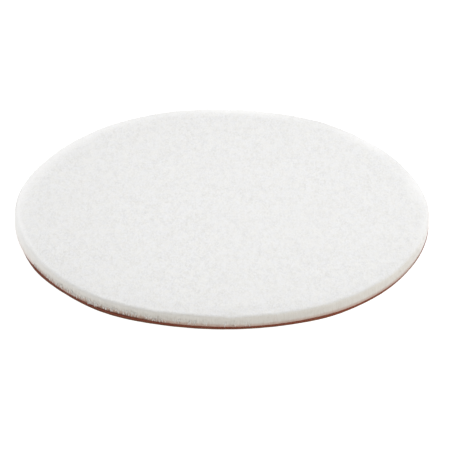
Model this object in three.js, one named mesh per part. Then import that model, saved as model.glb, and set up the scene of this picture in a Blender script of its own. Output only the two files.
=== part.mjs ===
// Felt polishing disc for a flat lap: five round sheets stacked on one axis.
// Millimetres, +Z up. The origin is the centre of the underside, so the disc stands on z = 0.
import * as THREE from 'three';

// ---- driving dimensions ----
const discDiameter = 203.2; // 8 in, the size of the lap plate that the disc covers
const feltThickness = 6.35; // quarter-inch pressed wool felt
const bondThickness = 0.1; // glue line between the felt and its backing
const backingThickness = 1.2; // stiff reddish-brown fibre sheet
const mountingThickness = 0.1; // pressure-sensitive adhesive film
const linerThickness = 0.1; // siliconed paper under the adhesive, peeled off before use
const feltEdgeRadius = 1.6; // the cut edge of the working face is rubbed round
const glueSetBack = 0.25; // adhesive films stop just short of the cut edge

// ---- fineness of the faceted solids ----
const segmentsAround = 128;
const segmentsInEdge = 5;

// ---- derived ----
const discRadius = discDiameter / 2;
const glueRadius = discRadius - glueSetBack;

// A round sheet standing on z = 0. A positive edgeRadius rounds its upper edge.
function roundSheet(radius, thickness, edgeRadius = 0) {
  const outline = [new THREE.Vector2(0, 0), new THREE.Vector2(radius, 0)];
  if (edgeRadius > 0) {
    const centre = new THREE.Vector2(radius - edgeRadius, thickness - edgeRadius);
    for (let step = 0; step <= segmentsInEdge; step += 1) {
      const angle = (step / segmentsInEdge) * (Math.PI / 2);
      const arm = new THREE.Vector2(Math.cos(angle), Math.sin(angle));
      outline.push(arm.multiplyScalar(edgeRadius).add(centre));
    }
  } else {
    outline.push(new THREE.Vector2(radius, thickness));
  }
  outline.push(new THREE.Vector2(0, thickness));
  // A lathe turns about Y, so the profile's height is stood up along Z.
  return new THREE.LatheGeometry(outline, segmentsAround).rotateX(Math.PI / 2);
}

// The sheets from the bottom of the stack to the top.
const sheets = [
  {
    name: 'release_liner',
    thickness: linerThickness,
    radius: discRadius,
    look: { color: 0xd9c9a6, roughness: 0.55, metalness: 0 },
  },
  {
    name: 'mounting_adhesive',
    thickness: mountingThickness,
    radius: glueRadius,
    look: { color: 0xcbb98c, roughness: 0.2, metalness: 0 },
  },
  {
    name: 'backing_sheet',
    thickness: backingThickness,
    radius: discRadius,
    look: { color: 0x8b5846, roughness: 0.6, metalness: 0 },
  },
  {
    name: 'bond_film',
    thickness: bondThickness,
    radius: glueRadius,
    look: { color: 0xd8c9a0, roughness: 0.4, metalness: 0 },
  },
  {
    name: 'felt_pad',
    thickness: feltThickness,
    radius: discRadius,
    edgeRadius: feltEdgeRadius,
    look: { color: 0xefeeea, roughness: 0.95, metalness: 0 },
  },
];

const group = new THREE.Group();
let height = 0;
for (const { name, radius, thickness, edgeRadius, look } of sheets) {
  const material = new THREE.MeshStandardMaterial(look);
  const mesh = new THREE.Mesh(roundSheet(radius, thickness, edgeRadius), material);
  mesh.name = name;
  mesh.position.z = height;
  group.add(mesh);
  height += thickness;
}

export default group;
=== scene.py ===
"""Felt polishing disc: the looks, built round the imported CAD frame. Metres, +Z up."""
import math

import bpy
import numpy as np
from mathutils import Euler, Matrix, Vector, noise


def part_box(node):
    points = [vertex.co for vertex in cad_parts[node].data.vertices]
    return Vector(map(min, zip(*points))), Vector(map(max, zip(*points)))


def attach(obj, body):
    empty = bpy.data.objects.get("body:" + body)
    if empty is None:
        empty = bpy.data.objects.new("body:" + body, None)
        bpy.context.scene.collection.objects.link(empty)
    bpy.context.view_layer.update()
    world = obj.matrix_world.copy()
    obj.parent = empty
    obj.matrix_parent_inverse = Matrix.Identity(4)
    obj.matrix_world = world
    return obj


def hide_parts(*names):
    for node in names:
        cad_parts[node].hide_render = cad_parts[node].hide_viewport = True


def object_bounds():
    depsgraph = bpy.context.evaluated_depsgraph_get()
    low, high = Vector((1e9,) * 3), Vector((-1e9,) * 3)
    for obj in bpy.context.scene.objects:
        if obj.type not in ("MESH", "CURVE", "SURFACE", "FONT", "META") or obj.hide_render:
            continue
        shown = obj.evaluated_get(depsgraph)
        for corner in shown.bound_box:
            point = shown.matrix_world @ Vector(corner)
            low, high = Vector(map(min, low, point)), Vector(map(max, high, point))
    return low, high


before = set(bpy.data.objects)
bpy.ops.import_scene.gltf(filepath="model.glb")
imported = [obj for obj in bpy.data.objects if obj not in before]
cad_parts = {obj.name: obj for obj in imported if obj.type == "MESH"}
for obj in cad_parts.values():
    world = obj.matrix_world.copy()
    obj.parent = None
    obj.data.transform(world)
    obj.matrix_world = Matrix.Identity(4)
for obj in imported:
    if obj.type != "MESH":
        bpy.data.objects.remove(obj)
cad_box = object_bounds()

MM = 0.001

# ---- places, all from the frame ----
LINER_LOW = Vector(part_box("release_liner")[0])
ADHESIVE_LOW, ADHESIVE_HIGH = (Vector(corner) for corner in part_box("mounting_adhesive"))
BACKING_LOW, BACKING_HIGH = (Vector(corner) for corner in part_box("backing_sheet"))
FELT_LOW, FELT_HIGH = (Vector(corner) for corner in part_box("felt_pad"))
DISC_CENTRE = (cad_box[0] + cad_box[1]) / 2
DISC_RADIUS = (FELT_HIGH.x - FELT_LOW.x) / 2
FILM_RADIUS = (ADHESIVE_HIGH.x - ADHESIVE_LOW.x) / 2
FELT_THICKNESS = FELT_HIGH.z - FELT_LOW.z

# ---- the hand-cut outline that all the sheets share ----
# One row per bump: its middle in degrees from +X, its half width in degrees, how far it stands out.
OUTLINE_BUMPS = (
    (268, 22, -0.9 * MM),
    (228, 18, 0.6 * MM),
    (315, 18, 0.7 * MM),
    (0, 14, 0.5 * MM),
    (28, 16, -0.7 * MM),
    (110, 18, 0.7 * MM),
    (152, 20, -0.7 * MM),
    (237, 9, 0.4 * MM),
    (301, 9, 0.4 * MM),
    (177, 13, 0.6 * MM),
    (92, 52, 0.35 * MM),
    (62, 12, 0.3 * MM),
)
# The sheets under the felt were cut apart from it, so they have a few bumps more.
SHEET_BUMPS = OUTLINE_BUMPS + (
    (195, 13, -0.3 * MM),
    (210, 7, 0.55 * MM),
    (237, 9, 0.5 * MM),
    (299, 9, 0.45 * MM),
    (246, 7, 0.35 * MM),
    (331, 7, -0.2 * MM),
)

# ---- the felt's form ----
GRID_STEPS = 120  # rings of the felt's face between its centre and its rim
ROLL_WIDTH = 7 * MM  # the face slopes away over this width before the rubbed edge
ROLL_DROP = 0.45 * MM
EDGE_RADIUS = 1.25 * MM  # the rubbed edge itself
EDGE_STEPS = 5
WALL_STEPS = 9
WALL_DRAFT = 0.35 * MM  # the cut wall leans in by this much at its foot
DENT_ANGLE = 272.5  # degrees from +X: a pinch in the front of the rim
DENT_HALF_WIDTH = 2.0
DENT_DEPTH = 0.6 * MM
LEAN_ANGLE = 205  # here the knife leaned inwards and the upper half of the wall slopes
LEAN_HALF_WIDTH = 19
LEAN_DEPTH = 0.7 * MM
LEAN_HEIGHT = 3.2 * MM
# Where handling has rubbed the rim down further: middle and half width in degrees, extra drop, and
# how far in from the rim it reaches.
RUBBED_SPOTS = (
    (152, 42, 0.45 * MM, 11 * MM),
    (184, 17, 0.42 * MM, 4.5 * MM),
    (352, 14, 0.30 * MM, 4.5 * MM),
    (85, 14, 0.50 * MM, 11 * MM),
    (42, 11, 0.42 * MM, 11 * MM),
    (13, 9, 0.42 * MM, 11 * MM),
)
HIGHLIGHT_WEAR_DEPTH = 0.25 * MM  # wool worn down this far gets the full painted highlight of the back-lit rim
BACK_HIGHLIGHT = 0.8  # how much painted highlight the whole wall gets at the back
BACK_REACH = 25 * MM  # it starts at the disc's middle and is complete this far behind it
# Where the foot of the wall spreads past its usual line: middle and half width in degrees, how far.
FOOT_SPREADS = (
    (196, 13, 0.55 * MM),
    (230, 24, 0.20 * MM),
    (286, 20, 0.32 * MM),
    (308, 14, 0.40 * MM),
    (332, 16, 0.52 * MM),
)

# ---- loose fibres ----
FIBRE_SEED = 11
WALL_TUFTS = 2130
FOOT_TUFTS = 1070
WALL_BAND = 1.8 * MM  # the wall's tufts grow within this of the disc's radius,
WALL_TOP_GAP = 1.6 * MM  # at least this far under the face,
TUFTED_BELOW = 0.45  # and where the wool is less worn, and has less painted highlight, than this
TORN_TUFTS = 210  # thick pale ones, on the stretch of wall that was cut worst
TORN_ANGLE = 234
TORN_HALF_WIDTH = 24
FACE_HAIRS = 500
NAP_TIPS = 24000  # short upright fibre ends all over the face
ROOT_DEPTH = 0.08 * MM  # how far a fibre starts below the felt's surface
SHORTEST_HAIR = 0.5 * MM  # on the wall
HAIR_STATIONS = (0.0, 0.35, 0.7)  # where a hair has its rings of corners, 1 being its tip


# ---------------------------------------------------------------- mesh helpers
def make_object(name, vertices, faces, smooth=True):
    """A new mesh object from arrays of places and corner numbers."""
    mesh = bpy.data.meshes.new(name)
    mesh.from_pydata([tuple(v) for v in vertices], [], [tuple(f) for f in faces])
    mesh.validate()
    if smooth:
        mesh.shade_smooth()
    obj = bpy.data.objects.new(name, mesh)
    bpy.context.scene.collection.objects.link(obj)
    return obj


def smoothstep(x):
    x = np.clip(x, 0.0, 1.0)
    return x * x * (3 - 2 * x)


def unit(vectors):
    return vectors / np.maximum(np.linalg.norm(vectors, axis=1), 1e-12)[:, None]


def soft_noise(points, size, octaves=1, shift=0.0):
    """Fractal Perlin noise, about -1 to 1, at an (n, 3) array of places; size is one lump's."""
    out = np.zeros(len(points))
    for octave in range(octaves):
        scale = 2.0**octave / size
        offset = Vector((shift + 7.3 * octave, 2 * shift, 3 * shift))
        layer = [noise.noise(Vector(p) * scale + offset) for p in points]
        out += np.array(layer) / 2**octave
    return out


def bump_round(angle, middle, half_width):
    """1 at the angle middle and fading to 0 about twice half_width away, all in degrees."""
    apart = (angle - middle + 180) % 360 - 180
    return np.exp(-((apart / half_width) ** 2))


def degrees_round(points):
    return np.degrees(np.arctan2(points[:, 1], points[:, 0]))


def cut_to_outline(points, bumps):
    """Moves places outwards, in proportion to their radius, so that the circle becomes the outline."""
    angle = degrees_round(points)
    stretch = sum(height * bump_round(angle, middle, half) for middle, half, height in bumps)
    cut = points.copy()
    cut[:, :2] *= (1 + stretch / DISC_RADIUS)[:, None]
    return cut


def square_to_disc(u, v):
    """The map of the square from -1 to 1 onto the unit disc that keeps areas equal."""
    wide = np.abs(u) >= np.abs(v)
    reach = np.where(wide, u, v)
    side = np.where(wide, v, u)
    turn = (math.pi / 4) * side / np.where(reach == 0, 1, reach)
    angle = np.where(wide, turn, math.pi / 2 - turn)
    return reach * np.cos(angle), reach * np.sin(angle)


def disc_face(steps):
    """(places on the unit disc, its quads, the numbers of its outer ring going round anticlockwise)."""
    line = np.arange(-steps, steps + 1) / steps
    u, v = np.meshgrid(line, line)
    x, y = square_to_disc(u.ravel(), v.ravel())
    side = 2 * steps + 1
    number = np.arange(side * side).reshape(side, side)
    corners = [number[:-1, :-1], number[:-1, 1:], number[1:, 1:], number[1:, :-1]]
    quads = np.stack([c.ravel() for c in corners], axis=1)
    ring = np.concatenate([number[0, :-1], number[:-1, -1], number[-1, :0:-1], number[:0:-1, 0]])
    return np.stack([x, y], axis=1), quads, ring


def ring_quads(lower, upper):
    """Quads between two rings of corner numbers of the same length, facing out."""
    return np.stack([lower, np.roll(lower, -1), np.roll(upper, -1), upper], axis=1)


def doubling_ring(coarse, fine):
    """Five-cornered faces from a ring of corner numbers up to one with half as many, facing out."""
    even, odd = fine[::2], fine[1::2]
    return np.stack([even, odd, np.roll(even, -1), np.roll(coarse, -1), coarse], axis=1)


# ---------------------------------------------------------------- felt pad
def felt_profile():
    """(radii, heights) of the rubbed edge and the cut wall, from the face's last ring down."""
    centre_r = DISC_RADIUS - EDGE_RADIUS
    centre_z = FELT_HIGH.z - ROLL_DROP - EDGE_RADIUS
    angles = np.linspace(math.pi / 2, 0, EDGE_STEPS + 1)[1:]
    edge_r = centre_r + EDGE_RADIUS * np.cos(angles)
    edge_z = centre_z + EDGE_RADIUS * np.sin(angles)
    down = np.linspace(0, 1, WALL_STEPS + 1)[1:]
    wall_r = DISC_RADIUS - WALL_DRAFT * down**2
    wall_z = centre_z + (FELT_LOW.z - centre_z) * down
    return np.concatenate([edge_r, wall_r]), np.concatenate([edge_z, wall_z])


def felt_mesh():
    """The felt as one closed body: a fine face, finer rings for its edge and wall, an underside."""
    face_radius = DISC_RADIUS - EDGE_RADIUS
    flat, quads, ring = disc_face(GRID_STEPS)
    flat = flat * face_radius
    radius = np.hypot(flat[:, 0], flat[:, 1])
    sloped = smoothstep((radius - (face_radius - ROLL_WIDTH)) / ROLL_WIDTH)
    face = np.column_stack([flat, FELT_HIGH.z - ROLL_DROP * sloped])

    start = math.atan2(*flat[ring[0]][::-1])
    around = start + np.arange(2 * len(ring)) / (2 * len(ring)) * 2 * math.pi
    outward = np.column_stack([np.cos(around), np.sin(around)])
    blocks, faces, last = [face], [quads], ring
    first_new = len(face)
    for r, z in zip(*felt_profile()):
        blocks.append(np.column_stack([outward * r, np.full(len(around), z)]))
        new = first_new + np.arange(len(around))
        if len(last) == len(new):
            faces.append(ring_quads(new, last))
        else:
            faces.append(doubling_ring(last, new))
        last = new
        first_new += len(around)
    corners = [tuple(f) for block in faces for f in block]
    return np.concatenate(blocks), corners + [tuple(last[::-1])]


def rubbed_down(vertices):
    """How far handling has worn the face down at each place, in metres."""
    from_rim = DISC_RADIUS - np.hypot(vertices[:, 0], vertices[:, 1])
    angle = degrees_round(vertices)
    drop = np.zeros(len(vertices))
    for middle, half, depth, width in RUBBED_SPOTS:
        drop += depth * bump_round(angle, middle, half) * np.clip(1 - from_rim / width, 0, 1) ** 2
    return drop


def wear_and_highlight_share(vertices):
    """How much painted highlight the wool gets, 0 to 1, for the glow of the back-lit rim: wherever it is
    worn down, and all along the wall at the back.
    """
    worn = 1 - np.exp(-rubbed_down(vertices) / HIGHLIGHT_WEAR_DEPTH)
    behind = smoothstep(vertices[:, 1] / BACK_REACH)
    below_edge = smoothstep((FELT_HIGH.z - EDGE_RADIUS - vertices[:, 2]) / EDGE_RADIUS)
    return np.maximum(worn, BACK_HIGHLIGHT * behind * below_edge)


def roughen_felt(vertices):
    """Moves the felt's places: an uneven rim, a matted face and an upright grain down its wall."""
    x, y, z = vertices.T
    radius = np.hypot(x, y)
    outward = np.column_stack([x, y]) / np.maximum(radius, 1e-9)[:, None]
    rim = np.column_stack([outward * DISC_RADIUS, np.zeros(len(x))])
    near_rim = smoothstep((radius - (DISC_RADIUS - 9 * MM)) / (8 * MM))
    upper = smoothstep((z - FELT_LOW.z) / FELT_THICKNESS)
    on_wall = smoothstep((radius - (DISC_RADIUS - 1.2 * MM)) / (0.8 * MM))
    off_foot = smoothstep((z - FELT_LOW.z) / (1.0 * MM))
    low = 1 - smoothstep((z - FELT_LOW.z) / (4.5 * MM))
    angle = degrees_round(vertices)

    # Up and down: the rim as a whole, slow waves in the face, matted lumps, wear and the dent.
    lift = 0.30 * MM * soft_noise(rim, 26 * MM, 2, 1.0) * near_rim
    lift += 0.14 * MM * soft_noise(vertices, 38 * MM, 2, 2.0)
    lift += 0.09 * MM * soft_noise(vertices, 4.5 * MM, 2, 3.0) * (1 + near_rim)
    lift -= rubbed_down(vertices)
    pinched = smoothstep((radius - (DISC_RADIUS - 4 * MM)) / (3 * MM))
    lift -= DENT_DEPTH * bump_round(angle, DENT_ANGLE, DENT_HALF_WIDTH) * pinched

    # In and out: the rim as a whole, the upright grain of the wall, its lean and its spreading foot.
    push = 0.25 * MM * soft_noise(rim, 15 * MM, 2, 4.0) * near_rim * off_foot
    ragged = 0.25 + 0.75 * bump_round(angle, TORN_ANGLE, TORN_HALF_WIDTH)
    upright = vertices * np.array([1, 1, 0.2])
    push += 0.18 * MM * soft_noise(upright, 1.2 * MM, 2, 6.0) * on_wall * ragged
    top = smoothstep(1 - (FELT_HIGH.z - z) / LEAN_HEIGHT)
    push -= LEAN_DEPTH * bump_round(angle, LEAN_ANGLE, LEAN_HALF_WIDTH) * near_rim * top
    for middle, half, out in FOOT_SPREADS:
        push += out * bump_round(angle, middle, half) * on_wall * low

    moved = vertices.copy()
    moved[:, 2] += lift * upper
    moved[:, :2] += outward * push[:, None]
    return moved


def make_felt():
    vertices, faces = felt_mesh()
    # The share of painted highlight, laid where the rim is worn and along the back wall.
    worn_highlight = wear_and_highlight_share(vertices)
    vertices = cut_to_outline(roughen_felt(vertices), OUTLINE_BUMPS)
    felt = make_object("felt_disc", vertices, faces)
    felt.data.attributes.new("worn_highlight", "FLOAT", "POINT").data.foreach_set("value", worn_highlight)
    felt.data.materials.append(felt_material())
    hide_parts("felt_pad")
    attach(felt, "pad")
    return felt, vertices


# ---------------------------------------------------------------- loose fibres
def hair_mesh(roots, along, bend, lengths, radii, stations):
    """Closed three-sided hairs. Each leaves its root along `along`, and `bend` turns it by its tip."""
    sideways = unit(np.cross(along, bend))
    across = np.cross(sideways, along)
    rows = []
    for t in stations:
        middle = roots + lengths[:, None] * (along * t + bend * t * t)
        for corner in range(3):
            turn = 2 * math.pi * corner / 3
            arm = math.cos(turn) * sideways - math.sin(turn) * across
            rows.append(middle + arm * (radii * (1 - 0.4 * t))[:, None])
    rows.append(roots + lengths[:, None] * (along + bend))
    points = np.stack(rows, axis=1)
    last, tip = 3 * (len(stations) - 1), 3 * len(stations)
    one = [(0, 2, 1)]
    for low in range(0, last, 3):
        one += [(low + c, low + (c + 1) % 3, low + 3 + (c + 1) % 3, low + 3 + c) for c in range(3)]
    one += [(last + c, last + (c + 1) % 3, tip) for c in range(3)]
    faces = [tuple((tip + 1) * hair + c for c in face) for hair in range(len(roots)) for face in one]
    return points.reshape(-1, 3), faces


def hanging_hairs(rng, vertices, picked, lengths, radii):
    """Hairs that lie down the cut wall from the picked places and stop about at its foot."""
    count = len(picked)
    roots = vertices[picked]
    outward = unit(roots * np.array([1, 1, 0]))
    tangent = np.column_stack([-outward[:, 1], outward[:, 0], np.zeros(count)])
    lean = rng.normal(0, 0.2, count)[:, None]
    rise = rng.uniform(0.05, 0.2, count)[:, None]
    along = unit(tangent * lean + outward * rise - np.array([0, 0, 1.0]))
    bend = tangent * rng.normal(0, 0.12, count)[:, None] - outward * rng.uniform(0, 0.1, count)[:, None]
    room = roots[:, 2] - FELT_LOW.z - rng.uniform(-0.45, 0.3, count) * MM
    lengths = np.minimum(lengths, np.maximum(room, SHORTEST_HAIR))
    return hair_mesh(roots - outward * ROOT_DEPTH, along, bend, lengths, radii, HAIR_STATIONS)


def wall_places(vertices):
    """(numbers of the felt's places on its cut wall, their heights above its foot)"""
    radius = np.hypot(vertices[:, 0], vertices[:, 1])
    on_wall = (radius > DISC_RADIUS - WALL_BAND) & (vertices[:, 2] < FELT_HIGH.z - WALL_TOP_GAP)
    on_wall &= wear_and_highlight_share(vertices) < TUFTED_BELOW
    wall = np.flatnonzero(on_wall)
    return wall, vertices[wall, 2] - FELT_LOW.z


def wall_tufts(rng, vertices):
    """Fine matted tips down the whole wall, and more that hang over its foot."""
    wall, height = wall_places(vertices)
    high = rng.choice(wall[height > 1.8 * MM], WALL_TUFTS)
    low = rng.choice(wall[(height > 0.3 * MM) & (height < 1.5 * MM)], FOOT_TUFTS)
    picked = np.concatenate([high, low])
    lengths = rng.uniform(0.8, 2.4, len(picked)) * MM
    radii = rng.uniform(0.035, 0.075, len(picked)) * MM
    return hanging_hairs(rng, vertices, picked, lengths, radii)


def torn_tufts(rng, vertices):
    """Thick pale tufts that hang down the lower half of the roughly cut stretch."""
    wall, height = wall_places(vertices)
    angle = degrees_round(vertices[wall])
    share = bump_round(angle, TORN_ANGLE, TORN_HALF_WIDTH) * (height > 1.2 * MM) * (height < 3.2 * MM)
    picked = rng.choice(wall, TORN_TUFTS, p=share / share.sum())
    lengths = rng.uniform(1.4, 3.2, TORN_TUFTS) * MM
    radii = rng.uniform(0.16, 0.30, TORN_TUFTS) * MM
    return hanging_hairs(rng, vertices, picked, lengths, radii)


def face_places(rng, vertices, count):
    """Randomly picked places on the felt's working face, rim included."""
    face = np.flatnonzero(vertices[:, 2] > FELT_HIGH.z - ROLL_DROP - 1.3 * MM)
    places = vertices[rng.choice(face, count)]
    scatter = rng.uniform(-0.42, 0.42, (count, 2)) * MM
    inside = np.hypot(places[:, 0], places[:, 1]) < DISC_RADIUS - 2.5 * MM
    places[inside, :2] += scatter[inside]
    return places


def face_hairs(rng, vertices):
    """A few longer hairs lying loosely in every direction on the working face."""
    roots = face_places(rng, vertices, FACE_HAIRS)
    heading = rng.uniform(0, 2 * math.pi, FACE_HAIRS)
    rise = rng.uniform(0.2, 0.6, FACE_HAIRS)
    along = unit(np.column_stack([np.cos(heading), np.sin(heading), rise]))
    swing = rng.normal(0, 0.25, FACE_HAIRS)
    bend = np.column_stack([-np.sin(heading) * swing, np.cos(heading) * swing, -rise * 0.9])
    lengths = rng.uniform(1.0, 2.4, FACE_HAIRS) * MM
    radii = rng.uniform(0.02, 0.04, FACE_HAIRS) * MM
    return hair_mesh(roots, along, bend, lengths, radii, HAIR_STATIONS)


def face_nap(rng, vertices):
    """Short fibre ends that stand up all over the working face and make its soft grain."""
    roots = face_places(rng, vertices, NAP_TIPS)
    heading = rng.uniform(0, 2 * math.pi, NAP_TIPS)
    spill = rng.uniform(0.1, 0.9, NAP_TIPS)
    flat = np.column_stack([np.cos(heading), np.sin(heading), np.zeros(NAP_TIPS)])
    along = unit(flat * spill[:, None] + np.array([0, 0, 1.0]))
    bend = flat * rng.uniform(0.05, 0.3, NAP_TIPS)[:, None]
    lengths = rng.uniform(0.15, 0.4, NAP_TIPS) * MM
    radii = rng.uniform(0.05, 0.11, NAP_TIPS) * MM
    return hair_mesh(roots - np.array([0, 0, ROOT_DEPTH]), along, bend, lengths, radii, (0.0,))


def make_fibres(vertices):
    rng = np.random.default_rng(FIBRE_SEED)
    pieces = []
    for build in (wall_tufts, torn_tufts, face_hairs, face_nap):
        name = build.__name__
        hairs = make_object(name, *build(rng, vertices))
        hairs.data.materials.append(fibre_material(name))
        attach(hairs, "pad")
        pieces.append(hairs)
    return pieces


# ---------------------------------------------------------------- materials
def add_node(tree, kind, inputs=None, **settings):
    """A new node. In inputs a socket is linked and a plain value is set."""
    node = tree.nodes.new(kind)
    for key, value in settings.items():
        setattr(node, key, value)
    for key, value in (inputs or {}).items():
        if isinstance(value, bpy.types.NodeSocket):
            tree.links.new(value, node.inputs[key])
        else:
            node.inputs[key].default_value = value
    return node


def start_material(name):
    """(material, its node tree, its shader, the object coordinates)"""
    material = bpy.data.materials.new(name)
    material.use_nodes = True
    tree = material.node_tree
    shader = tree.nodes["Principled BSDF"]
    place = tree.nodes.new("ShaderNodeTexCoord").outputs["Object"]
    return material, tree, shader, place


def noise_value(tree, place, size, detail=3.0, roughness=0.6):
    """Noise from 0 to 1 whose lumps are about size metres across."""
    inputs = {"Vector": place, "Scale": 1 / size, "Detail": detail, "Roughness": roughness}
    return add_node(tree, "ShaderNodeTexNoise", inputs).outputs["Fac"]


def math_value(tree, operation, a, b=0.0):
    return add_node(tree, "ShaderNodeMath", {0: a, 1: b}, operation=operation).outputs[0]


def spread(tree, value, low, high, to_low=0.0, to_high=1.0):
    """value from low to high, stretched and clamped to to_low to to_high."""
    inputs = {"Value": value, "From Min": low, "From Max": high, "To Min": to_low, "To Max": to_high}
    return add_node(tree, "ShaderNodeMapRange", inputs).outputs["Result"]


def mix_colour(tree, factor, a, b):
    node = add_node(tree, "ShaderNodeMix", {"Factor": factor}, data_type="RGBA")
    for socket, value in zip(("A", "B"), (a, b)):
        target = [s for s in node.inputs if s.name == socket and s.type == "RGBA"][0]
        if isinstance(value, bpy.types.NodeSocket):
            tree.links.new(value, target)
        else:
            target.default_value = (*value, 1.0)
    return [s for s in node.outputs if s.type == "RGBA"][0]


def bump(tree, height, strength, distance, under=None):
    inputs = {"Height": height, "Strength": strength, "Distance": distance}
    if under is not None:
        inputs["Normal"] = under
    return add_node(tree, "ShaderNodeBump", inputs).outputs["Normal"]


def felt_face_colour(tree, place):
    """(colour, relief) of the matted face, its grain stretched along Y, the way the wool was carded."""
    carding = {"Vector": place, "Scale": (1.0, 0.5, 1.0)}
    carded = add_node(tree, "ShaderNodeMapping", carding).outputs["Vector"]
    clumps = noise_value(tree, carded, 2.3 * MM, 2.0, 0.6)
    strands = noise_value(tree, carded, 0.75 * MM, 3.0, 0.7)
    tints = noise_value(tree, place, 2.2 * MM, 2.0, 0.6)
    patches = noise_value(tree, place, 30 * MM, 2.0, 0.5)
    warmth = mix_colour(tree, spread(tree, tints, 0.4, 0.6), (0.69, 0.68, 0.645), (0.675, 0.68, 0.70))
    colour = mix_colour(tree, spread(tree, strands, 0.32, 0.68), (0.545, 0.54, 0.525), (0.757, 0.76, 0.767))
    colour = mix_colour(tree, spread(tree, clumps, 0.36, 0.64, 0.0, 0.6), colour, (0.745, 0.745, 0.742))
    colour = mix_colour(tree, 0.35, colour, warmth)
    colour = mix_colour(tree, spread(tree, patches, 0.3, 0.7, 0.0, 0.25), colour, (0.675, 0.672, 0.66))
    relief = bump(tree, clumps, 0.5, 0.25 * MM)
    return colour, bump(tree, strands, 0.5, 0.12 * MM, relief)


TORN_X = -55 * MM  # from here leftwards the cut wall is at its most torn, and its painted shade is strongest
SOUND_X = 10 * MM  # from here rightwards it is cleanly cut
# Heights above the foot of the wall.
FOOT_SHADE_TO = 0.8 * MM  # painted shade where the felt meets the backing reaches up to here
BOUNCE_FROM = 0.5 * MM  # the painted reddish bounce from the backing is full up to here
BOUNCE_TO = 2.5 * MM  # and has faded by here
TUFT_SHADE_TO = 4.0 * MM  # painted shade between the tufts reaches up to here
# the wall is painted darker, as shaded, from its foot up to here
LOWER_SHADE_TO = 5.0 * MM
# Depths below the face, between which painted light makes the wall on the left paler upwards.
PALER_FROM = 3.4 * MM
PALEST_FROM = 1.2 * MM


def part_of(tree, vector, axis):
    """The X, Y or Z of a place or a direction."""
    return add_node(tree, "ShaderNodeSeparateXYZ", {0: vector}).outputs[axis]


def soundness(tree, place):
    """How cleanly the wall is cut: 0 in the torn stretch on the left, 1 from just past the middle on. The
    wall's painted shade and painted light follow it.
    """
    return spread(tree, part_of(tree, place, "X"), TORN_X, SOUND_X)


def foot_bounce_and_shade(tree, place, colour, share=1.0):
    """colour, reddened and darkened at the wall's foot: painted reddish bounce light from the brown backing
    and painted shade where the felt meets it, reaching higher where it is torn.
    """
    sound = soundness(tree, place)
    z = part_of(tree, place, "Z")
    height = math_value(tree, "ADD", z, spread(tree, sound, 0.0, 1.0, 0.25 * MM, 0.75 * MM))
    # Painted reddish bounce light from the brown backing.
    reddish_bounce = spread(tree, height, FELT_LOW.z + BOUNCE_FROM, FELT_LOW.z + BOUNCE_TO, 0.95 * share, 0.0)
    colour = mix_colour(tree, reddish_bounce, colour, (0.44, 0.26, 0.19))
    # Painted shade where the felt meets the backing.
    foot_shade = spread(tree, height, FELT_LOW.z, FELT_LOW.z + FOOT_SHADE_TO, 0.8 * share, 0.0)
    return mix_colour(tree, foot_shade, colour, (0.29, 0.12, 0.075))


def felt_wall_colour(tree, place):
    """The cut wall: warmer than the face, with painted reddish bounce and shade at its foot and painted
    shade towards it, and where it is torn more painted shade, painted shade between its tufts and painted
    light towards its top."""
    lengthwise = {"Vector": place, "Scale": (1.0, 1.0, 0.12)}
    upright = add_node(tree, "ShaderNodeMapping", lengthwise).outputs["Vector"]
    streaks = spread(tree, noise_value(tree, upright, 0.6 * MM, 2.0, 0.6), 0.33, 0.67)
    sound = soundness(tree, place)
    z = part_of(tree, place, "Z")
    lower_shade = spread(tree, z, FELT_LOW.z, FELT_LOW.z + LOWER_SHADE_TO, 0.65, 0.0)
    colour = mix_colour(tree, streaks, (0.64, 0.61, 0.555), (0.68, 0.66, 0.61))
    # Painted shade: the wall darker on the torn left, away from the key lamp on the right.
    colour = mix_colour(tree, spread(tree, sound, 0.0, 1.0, 0.35, 0.0), colour, (0.50, 0.48, 0.44))
    # Painted shade: the wall darker towards its foot.
    colour = mix_colour(tree, lower_shade, colour, (0.56, 0.52, 0.47))
    # Painted light: the upper wall on the left paler towards the face.
    upper = spread(tree, z, FELT_HIGH.z - PALER_FROM, FELT_HIGH.z - PALEST_FROM, 0.0, 0.45)
    paler = math_value(tree, "MULTIPLY", upper, spread(tree, sound, 0.0, 1.0, 1.0, 0.0))
    colour = mix_colour(tree, paler, colour, (0.74, 0.73, 0.71))
    # Painted reddish bounce from the backing and painted shade at the foot.
    colour = foot_bounce_and_shade(tree, place, colour)
    # Painted shade between the tufts near the foot, strongest on the torn left.
    near_foot = spread(tree, z, FELT_LOW.z, FELT_LOW.z + TUFT_SHADE_TO, 1.0, 0.0)
    tuft_shade = spread(tree, math_value(tree, "SUBTRACT", near_foot, streaks), 0.0, 0.5)
    torn = spread(tree, sound, 0.0, 1.0, 0.7, 0.1)
    return mix_colour(tree, math_value(tree, "MULTIPLY", tuft_shade, torn), colour, (0.34, 0.22, 0.16))


def upward_share(tree):
    """How far the surface looks upwards: 1 on a level face, 0 on an upright cut edge."""
    return part_of(tree, add_node(tree, "ShaderNodeNewGeometry").outputs["Normal"], "Z")


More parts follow.
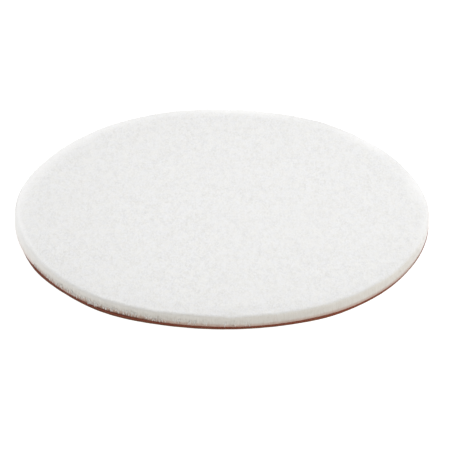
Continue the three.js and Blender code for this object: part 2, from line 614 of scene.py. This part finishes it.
def felt_material():
    """White pressed wool, with its cut wall told from its face by the way the surface looks."""
    material, tree, shader, place = start_material("felt")
    face, relief = felt_face_colour(tree, place)
    wall = felt_wall_colour(tree, place)
    on_face = spread(tree, upward_share(tree), 0.35, 1.0)
    worn_highlight = add_node(tree, "ShaderNodeAttribute", attribute_name="worn_highlight").outputs["Fac"]
    # Painted highlight: a paler colour for the glow of the back-lit rim, where the wool is worn and along
    # the back wall.
    worn = mix_colour(tree, on_face, (0.79, 0.785, 0.775), (0.815, 0.81, 0.805))
    plain = mix_colour(tree, on_face, wall, face)
    colour = mix_colour(tree, math_value(tree, "MULTIPLY", worn_highlight, 0.85), plain, worn)
    tree.links.new(colour, shader.inputs["Base Color"])
    tree.links.new(relief, shader.inputs["Normal"])
    shader.inputs["Roughness"].default_value = 0.95
    shader.inputs["Specular IOR Level"].default_value = 0.2
    shader.inputs["Sheen Weight"].default_value = 0.12
    shader.inputs["Sheen Roughness"].default_value = 0.5
    return material


# The pale and the dull colour of each layer of loose fibres, and how much of the painted reddish bounce and
# shade at the foot it takes.
FIBRE_COLOURS = {
    "wall_tufts": ((0.68, 0.66, 0.61), (0.56, 0.525, 0.47), 1.0),
    "torn_tufts": ((0.81, 0.80, 0.77), (0.73, 0.715, 0.68), 0.3),
    "face_hairs": ((0.79, 0.79, 0.785), (0.73, 0.73, 0.725), 0.0),
    "face_nap": ((0.76, 0.76, 0.757), (0.63, 0.63, 0.627), 0.0),
}


def fibre_material(name):
    """Wool fibres, each stretch a little paler or yellower than the next."""
    material, tree, shader, place = start_material(name)
    shade = noise_value(tree, place, 1.1 * MM, 3.0, 0.6)
    pale, dull, share = FIBRE_COLOURS[name]
    colour = mix_colour(tree, spread(tree, shade, 0.35, 0.65), dull, pale)
    # Painted reddish bounce and painted shade at the wall's foot, as on the wall itself.
    if share > 0:
        colour = foot_bounce_and_shade(tree, place, colour, share)
    tree.links.new(colour, shader.inputs["Base Color"])
    shader.inputs["Roughness"].default_value = 0.85
    shader.inputs["Specular IOR Level"].default_value = 0.2
    shader.inputs["Sheen Weight"].default_value = 0.12
    return material


def backing_material():
    """Reddish-brown pressed fibre sheet with a faint grain, and painted shade that darkens it low down,
    most of all on the left.
    """
    material, tree, shader, place = start_material("backing")
    grain = noise_value(tree, place, 0.7 * MM, 4.0, 0.65)
    clouds = noise_value(tree, place, 14 * MM, 2.0, 0.5)
    brown = mix_colour(tree, spread(tree, grain, 0.3, 0.7), (0.18, 0.045, 0.024), (0.29, 0.082, 0.045))
    brown = mix_colour(tree, spread(tree, clouds, 0.3, 0.7, 0.0, 0.35), brown, (0.21, 0.066, 0.036))
    # Painted shade: the backing darkened towards its lower edge, most of all on the left.
    low = spread(tree, part_of(tree, place, "Z"), BACKING_LOW.z, BACKING_HIGH.z, 1.0, 0.0)
    left_shade = spread(tree, part_of(tree, place, "X"), -75 * MM, 70 * MM, 1.0, 0.3)
    brown = mix_colour(tree, math_value(tree, "MULTIPLY", low, left_shade), brown, (0.03, 0.011, 0.006))
    tree.links.new(brown, shader.inputs["Base Color"])
    tree.links.new(bump(tree, grain, 0.35, 0.08 * MM), shader.inputs["Normal"])
    shader.inputs["Roughness"].default_value = 0.75
    shader.inputs["Specular IOR Level"].default_value = 0.15
    return material


def film_material(name, colour):
    """A glossy yellowish adhesive film with fine ripples."""
    material, tree, shader, place = start_material(name)
    ripples = noise_value(tree, place, 3 * MM, 3.0, 0.6)
    paler = tuple(min(1.0, 1.35 * c) for c in colour)
    tint = mix_colour(tree, spread(tree, ripples, 0.3, 0.7), colour, paler)
    tree.links.new(tint, shader.inputs["Base Color"])
    tree.links.new(bump(tree, ripples, 0.25, 0.05 * MM), shader.inputs["Normal"])
    shader.inputs["Roughness"].default_value = 0.22
    return material


def liner_material():
    """Brown siliconed kraft paper whose upright cut edge is darkened with painted shade."""
    material, tree, shader, place = start_material("liner")
    pulp = noise_value(tree, place, 0.9 * MM, 5.0, 0.7)
    clouds = noise_value(tree, place, 9 * MM, 3.0, 0.6)
    lengthwise = {"Vector": place, "Scale": (1.0, 0.12, 1.0)}
    along = add_node(tree, "ShaderNodeMapping", lengthwise).outputs["Vector"]
    fibres = noise_value(tree, along, 1.3 * MM, 3.0, 0.6)
    brown = mix_colour(tree, spread(tree, pulp, 0.38, 0.62), (0.32, 0.18, 0.095), (0.47, 0.30, 0.175))
    brown = mix_colour(tree, spread(tree, clouds, 0.35, 0.65, 0.0, 0.6), brown, (0.34, 0.21, 0.12))
    brown = mix_colour(tree, spread(tree, fibres, 0.52, 0.68, 0.0, 0.5), brown, (0.24, 0.13, 0.07))
    # Painted shade: the upright cut edge darkened, for the shade under the disc's edge.
    edge_shade = spread(tree, math_value(tree, "ABSOLUTE", upward_share(tree)), 0.2, 0.7, 0.8, 0.0)
    brown = mix_colour(tree, edge_shade, brown, (0.10, 0.035, 0.02))
    tree.links.new(brown, shader.inputs["Base Color"])
    tree.links.new(bump(tree, pulp, 0.2, 0.04 * MM), shader.inputs["Normal"])
    shader.inputs["Roughness"].default_value = 0.7
    shader.inputs["Specular IOR Level"].default_value = 0.2
    return material


# ---------------------------------------------------------------- sheets under the felt
# The cut edge of each sheet: how far inside the disc's radius it runs, its bevel, how far it wanders,
# the seed of that wandering, and the bumps of its outline.
SHEET_EDGES = {
    "glue_line": (0.7 * MM, 0.02 * MM, 0.05 * MM, 7.0, OUTLINE_BUMPS),
    "fibre_backing": (0.1 * MM, 0.12 * MM, 0.1 * MM, 8.0, SHEET_BUMPS),
    "sticky_film": (DISC_RADIUS - FILM_RADIUS, 0.02 * MM, 0.05 * MM, 9.0, SHEET_BUMPS),
    "paper_liner": (0.15 * MM, 0.03 * MM, 0.08 * MM, 10.0, SHEET_BUMPS),
}
EDGE_PLACES = 960  # round the edge of each sheet
EDGE_WAVE = 5 * MM  # the length of the wandering


def sheet_mesh(low_z, high_z, inset, bevel, wander, seed, bumps):
    """A thin round sheet with bevelled edges."""
    angle = np.arange(EDGE_PLACES) / EDGE_PLACES * 2 * math.pi
    outward = np.column_stack([np.cos(angle), np.sin(angle), np.zeros(EDGE_PLACES)])
    radius = DISC_RADIUS - inset
    reach = (radius + wander * soft_noise(outward * radius, EDGE_WAVE, 3, seed))[:, None]
    profile = ((bevel, low_z), (0, low_z + bevel), (0, high_z - bevel), (bevel, high_z))
    rings = [outward * (reach - step_in) + np.array([0, 0, z]) for step_in, z in profile]
    numbers = np.arange(len(rings) * EDGE_PLACES).reshape(len(rings), EDGE_PLACES)
    faces = [tuple(f) for low, high in zip(numbers, numbers[1:]) for f in ring_quads(low, high)]
    faces += [tuple(numbers[0][::-1]), tuple(numbers[-1])]
    return cut_to_outline(np.concatenate(rings), bumps), faces


def make_sheet(name, node, body, material):
    """One flat sheet in the place of its CAD node."""
    low, high = (Vector(corner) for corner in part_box(node))
    vertices, faces = sheet_mesh(low.z, high.z, *SHEET_EDGES[name])
    sheet = make_object(name, vertices, faces)
    sheet.data.materials.append(material)
    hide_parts(node)
    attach(sheet, body)


def make_sheets():
    """The four sheets under the felt, from the top down."""
    bond = film_material("bond", (0.55, 0.46, 0.28))
    glue = film_material("adhesive", (0.48, 0.38, 0.20))
    make_sheet("glue_line", "bond_film", "pad", bond)
    make_sheet("fibre_backing", "backing_sheet", "pad", backing_material())
    make_sheet("sticky_film", "mounting_adhesive", "pad", glue)
    make_sheet("paper_liner", "release_liner", "liner", liner_material())


# ---------------------------------------------------------------- stage, light and camera
FLOOR_REACH = 4.0
FLOOR_GAP = 0.02 * MM  # keeps the floor just clear of the liner
FLOOR_GREY = 0.35
FLOOR_GLOW = 0.88  # the floor is a light table, so shadows stay faint
HORIZON_LIGHT = 1.05
SKY_LIGHT = 0.63


def make_floor():
    """A wide level floor that glows softly."""
    corners = [(-FLOOR_REACH, -FLOOR_REACH), (FLOOR_REACH, -FLOOR_REACH)]
    corners += [(FLOOR_REACH, FLOOR_REACH), (-FLOOR_REACH, FLOOR_REACH)]
    z = LINER_LOW.z - FLOOR_GAP
    floor = make_object("floor", [(x, y, z) for x, y in corners], [(0, 1, 2, 3)], smooth=False)
    material, _, shader, _ = start_material("floor")
    shader.inputs["Base Color"].default_value = (FLOOR_GREY, FLOOR_GREY, FLOOR_GREY, 1)
    shader.inputs["Roughness"].default_value = 1.0
    shader.inputs["Specular IOR Level"].default_value = 0.0
    shader.inputs["Emission Color"].default_value = (1, 1, 1, 1)
    shader.inputs["Emission Strength"].default_value = FLOOR_GLOW
    floor.data.materials.append(material)


def area_light(name, place, size, power):
    """A round softbox that faces the disc."""
    light = bpy.data.lights.new(name, "AREA")
    light.shape = "DISK"
    light.size = size
    light.energy = power
    obj = bpy.data.objects.new(name, light)
    obj.location = place
    obj.rotation_euler = (DISC_CENTRE - Vector(place)).to_track_quat("-Z", "Y").to_euler()
    bpy.context.scene.collection.objects.link(obj)


def make_surroundings():
    """Even white surroundings, brighter in a narrow band at the horizon, as a paper backdrop is."""
    world = bpy.data.worlds.new("studio")
    world.use_nodes = True
    tree = world.node_tree
    towards = tree.nodes.new("ShaderNodeTexCoord").outputs["Generated"]
    height = math_value(tree, "ABSOLUTE", part_of(tree, towards, "Z"))
    strength = spread(tree, height, 0.04, 0.09, HORIZON_LIGHT, SKY_LIGHT)
    background = tree.nodes["Background"]
    background.inputs["Color"].default_value = (1, 1, 1, 1)
    tree.links.new(strength, background.inputs["Strength"])
    bpy.context.scene.world = world


def light_the_scene():
    """White surroundings, a lamp overhead, a key on the right, low softboxes on the left and behind."""
    make_surroundings()
    area_light("overhead", (0.0, 0.0, 0.42), 0.2, 0.55)
    area_light("key", (0.65, 0.05, 0.7), 0.6, 3.0)
    area_light("side", (-1.6, 0.7, 0.38), 0.6, 7.0)
    area_light("back", (0.3, 1.5, 0.34), 0.6, 5.0)


# ---- camera ----
CAMERA_ELEVATION = math.radians(30.66)
CAMERA_ROLL = math.radians(0.4)
CAMERA_DISTANCE = 1.6
CAMERA_LENS = 259.1  # on a 36 mm sensor
AIM_RIGHT = 1.64 * MM  # the disc stands a little left of the picture's middle and above it
AIM_DOWN = 2.43 * MM


def make_camera():
    """A long lens looking along +Y, down at the foot of the disc."""
    away = Vector((0, -math.cos(CAMERA_ELEVATION), math.sin(CAMERA_ELEVATION)))
    upright = away.to_track_quat("Z", "Y")
    data = bpy.data.cameras.new("camera")
    data.sensor_width = 36
    data.lens = CAMERA_LENS
    camera = bpy.data.objects.new("camera", data)
    foot = Vector((DISC_CENTRE.x, DISC_CENTRE.y, LINER_LOW.z))
    aim = foot + upright @ Vector((AIM_RIGHT, -AIM_DOWN, 0))
    camera.location = aim + away * CAMERA_DISTANCE
    camera.rotation_euler = (upright @ Euler((0, 0, CAMERA_ROLL)).to_quaternion()).to_euler()
    bpy.context.scene.collection.objects.link(camera)
    bpy.context.scene.camera = camera


bpy.context.scene.view_settings.view_transform = "Standard"
felt_disc, felt_places = make_felt()
fibres = make_fibres(felt_places)
make_sheets()
make_floor()
light_the_scene()
make_camera()
